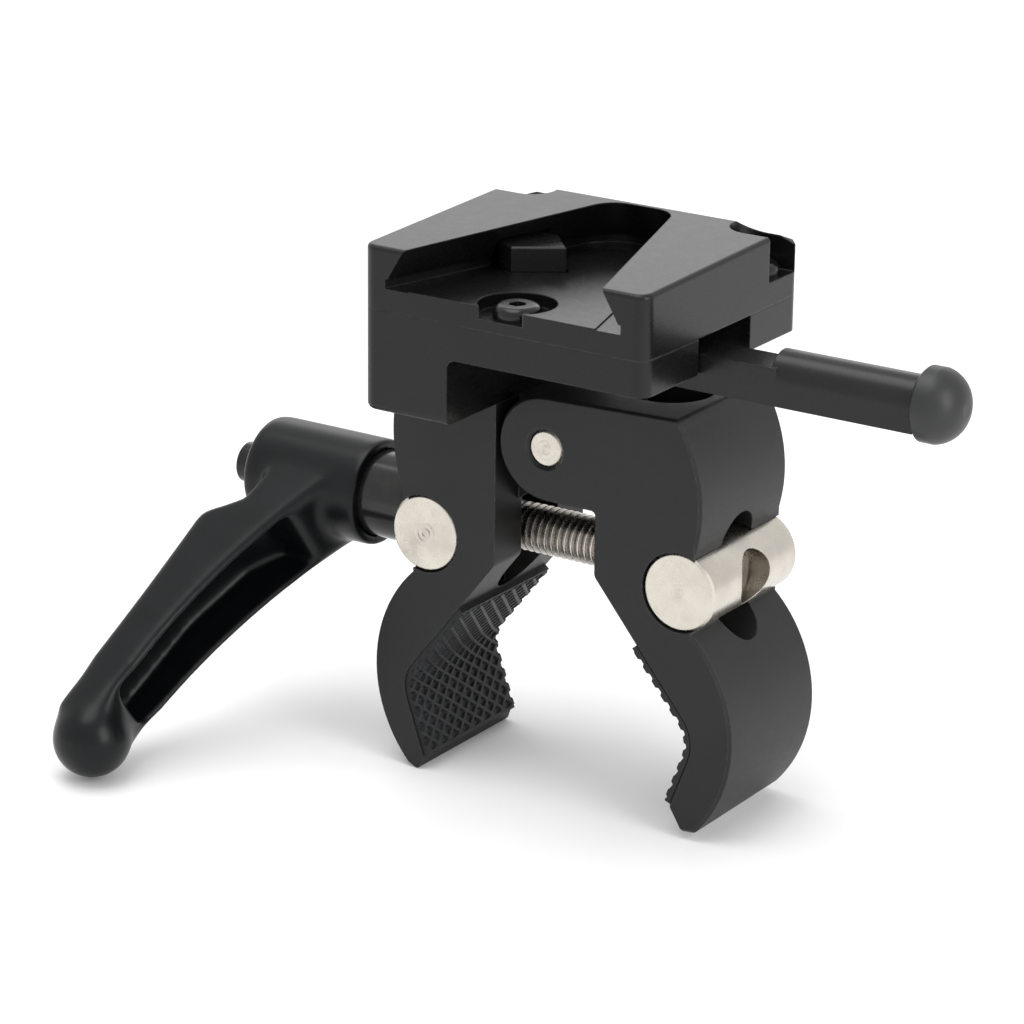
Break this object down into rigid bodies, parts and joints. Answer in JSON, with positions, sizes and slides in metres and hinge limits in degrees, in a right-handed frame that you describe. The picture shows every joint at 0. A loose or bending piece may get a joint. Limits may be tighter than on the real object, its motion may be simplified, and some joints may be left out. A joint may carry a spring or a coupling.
{
  "type": "super clamp",
  "caption": "Crab-type super clamp with a screw-driven hinged jaw, an adjustable clamping handle, and a V-lock receiver plate with a swing release lever on top.",
  "frame": {"origin": "on the floor of the V-lock channel, above the middle of the jaws", "axes": "+Z out of the channel floor, away from the jaws; +X from the clamping handle's side to the release lever's side; the channel is open towards -Y"},
  "size_m": [0.1403, 0.0717, 0.0923],
  "materials": {
    "black_anodised": "black anodised, fine bead-blasted",
    "pad_rubber": "moulded diamond knurl",
    "nickel": "nickel-plated, turned",
    "spring_steel": "plain spring steel",
    "black_steel": "black oxide",
    "black_plastic": "satin glass-filled nylon",
    "black_lever": "satin black"
  },
  "bodies": {
    "frame": {"left_jaw": "black_anodised", "left_pad": "pad_rubber", "base_block": "black_anodised", "block_screws": "black_steel", "v_lock_plate": "black_anodised", "plate_screws": "black_steel", "pivot_pin": "nickel", "lever_pivot_screw": "black_steel", "lever_spring": "spring_steel"},
    "right_jaw": {"right_jaw": "black_anodised", "right_pad": "pad_rubber"},
    "left_barrel": {"left_barrel": "nickel", "retaining_ring": "spring_steel", "thrust_washer": "nickel"},
    "right_barrel": {"right_barrel": "nickel"},
    "screw": {"clamp_screw": "nickel", "handle_insert": "nickel", "cap_screw": "black_steel"},
    "handle": {"handle_grip": "black_plastic"},
    "release_lever": {"release_lever": "black_lever", "catch": "black_lever", "catch_screws": "black_steel", "lever_cap": "black_plastic"}
  },
  "joints": [
    {"name": "jaw_close", "type": "hinge", "parent": "frame", "child": "right_jaw", "pos_m": [-0.0006, 0, -0.0258], "axis": [0, 1, 0], "range_deg": [0, 45]},
    {"name": "left_barrel_tilt", "type": "hinge", "parent": "frame", "child": "left_barrel", "pos_m": [-0.0232, 0, -0.0443], "axis": [0, 1, 0], "range_deg": [0, 24.1]},
    {"name": "right_barrel_tilt", "type": "hinge", "parent": "right_jaw", "child": "right_barrel", "pos_m": [0.024, 0, -0.0443], "axis": [0, 1, 0], "range_deg": [-21.1, 0]},
    {"name": "screw_turn", "type": "hinge", "parent": "left_barrel", "child": "screw", "pos_m": [-0.0232, 0, -0.0443], "axis": [1, 0, 0], "range_deg": [0, 5120]},
    {"name": "handle_lift", "type": "slide", "parent": "screw", "child": "handle", "axis": [-1, 0, 0], "range_m": [0, 0.0045], "stiffness_N_per_m": 400, "springref_m": -0.003},
    {"name": "lever_swing", "type": "hinge", "parent": "frame", "child": "release_lever", "pos_m": [-0.0175, -0.0155, -0.009], "axis": [0, 0, 1], "range_deg": [0, 10], "stiffness_Nm_per_rad": 0.12, "springref_deg": -34.38}
  ],
  "couplings": [
    {"joint": "left_barrel_tilt", "follows": "jaw_close", "ratio": 0.5333},
    {"joint": "right_barrel_tilt", "follows": "jaw_close", "ratio": -0.4667},
    {"joint": "screw_turn", "follows": "jaw_close", "ratio": 113.6}
  ]
}
